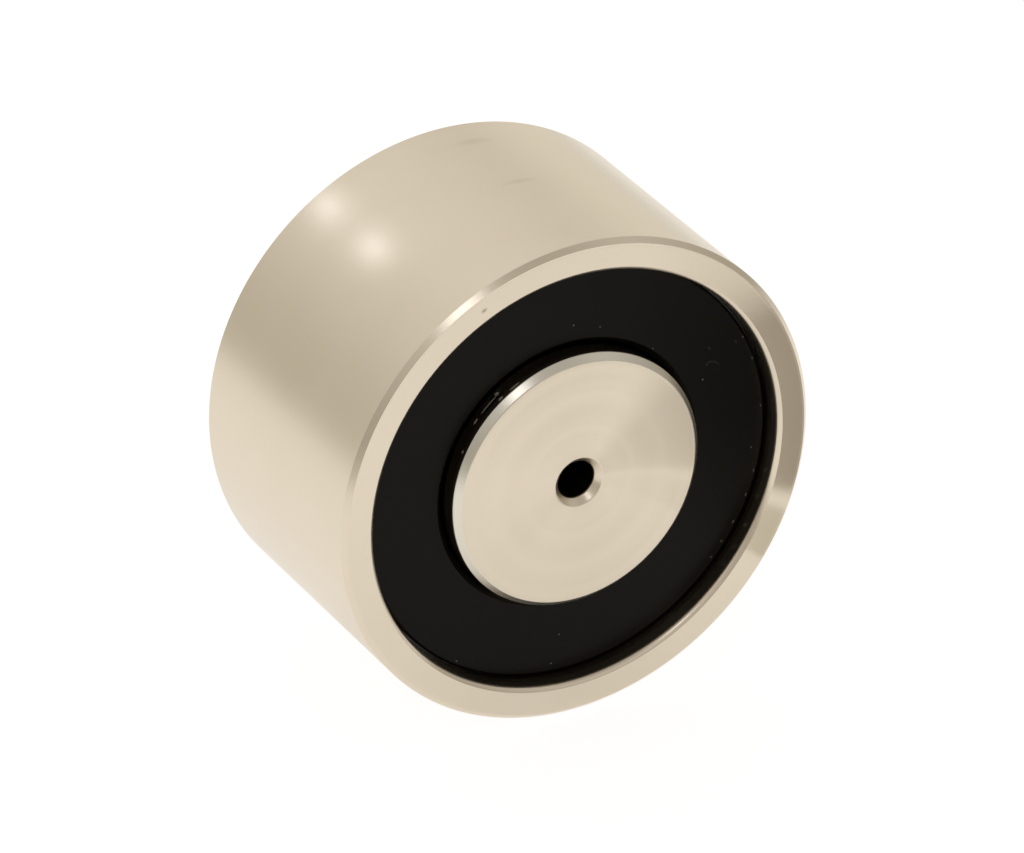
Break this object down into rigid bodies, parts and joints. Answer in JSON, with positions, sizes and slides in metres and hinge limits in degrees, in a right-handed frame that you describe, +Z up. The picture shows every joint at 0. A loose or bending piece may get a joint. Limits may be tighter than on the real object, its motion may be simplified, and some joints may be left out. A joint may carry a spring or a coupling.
{
  "type": "electromagnetic door holder",
  "caption": "Round pot electromagnet for holding a door open: steel pot with a thick rim, flush centre pole with a tapped hole, and a black coil former sunk between them.",
  "frame": {"origin": "centre of the rear mounting face, on the axis of the pot", "axes": "+Y out of the rear face into the wall, -Y out of the pole face towards the door, +Z up the wall"},
  "size_m": [0.055, 0.03, 0.055],
  "materials": {
    "nickel_plated_steel": "bright nickel plating over fine turning",
    "black_nylon": "matt moulded",
    "enamelled_copper": "clear enamel",
    "polyester_tape": "smooth film",
    "tinned_brass": "tinned",
    "diode_epoxy": "moulded epoxy",
    "casting_resin": "cast",
    "black_rubber": "matt"
  },
  "bodies": {
    "root": {"pot_housing": "nickel_plated_steel", "pole_core": "nickel_plated_steel", "coil_former": "black_nylon", "coil_winding": "enamelled_copper", "winding_tape": "polyester_tape", "terminal_pins": "tinned_brass", "suppression_diode": "diode_epoxy", "potting_resin": "casting_resin", "outlet_grommet": "black_rubber"}
  },
  "joints": []
}
